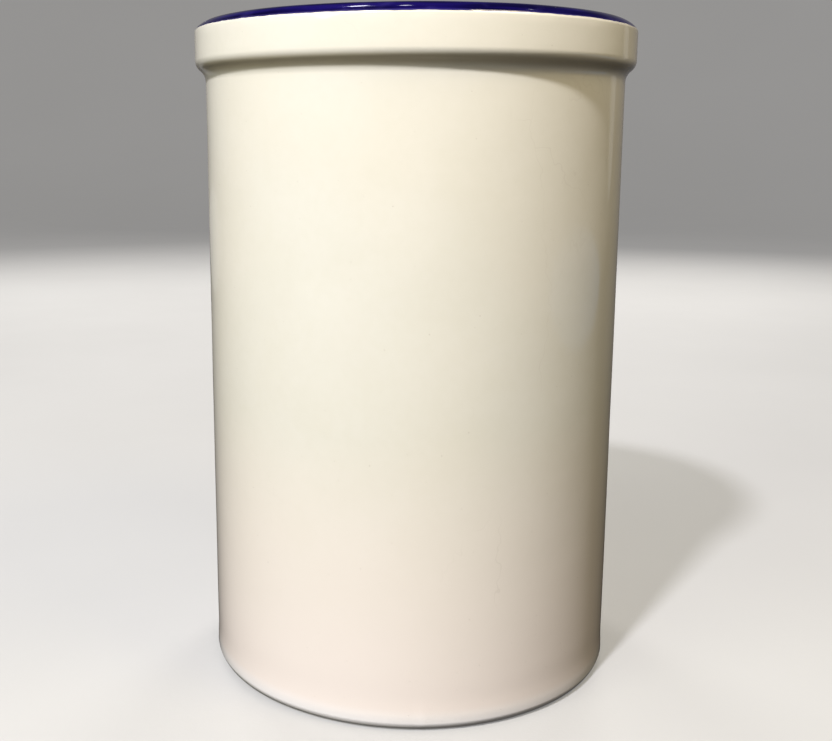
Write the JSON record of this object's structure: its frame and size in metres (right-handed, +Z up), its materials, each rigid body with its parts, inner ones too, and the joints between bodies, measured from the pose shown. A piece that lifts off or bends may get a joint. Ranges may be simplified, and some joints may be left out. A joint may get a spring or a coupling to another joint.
{
  "type": "ceramic crucible jar",
  "caption": "Tall straight-sided glazed porcelain crucible or jar, open at the top, with a stepped collar, a cobalt blue lip and a bare foot ring.",
  "frame": {"origin": "centre of the foot, at the height of the surface that the jar stands on", "axes": "+Z up along the jar's axis, towards its open mouth. X and Y are alike, because the jar is round"},
  "size_m": [0.1106, 0.1106, 0.165],
  "materials": {
    "bare_clay": "matt, fired and unglazed",
    "white_glaze": "glossy, warm white",
    "blue_glaze": "glossy, cobalt blue"
  },
  "bodies": {
    "root": {"ceramic_body": "bare_clay", "outer_glaze": "white_glaze", "rim_glaze": "blue_glaze", "inner_glaze": "white_glaze", "underside_glaze": "white_glaze"}
  },
  "joints": []
}
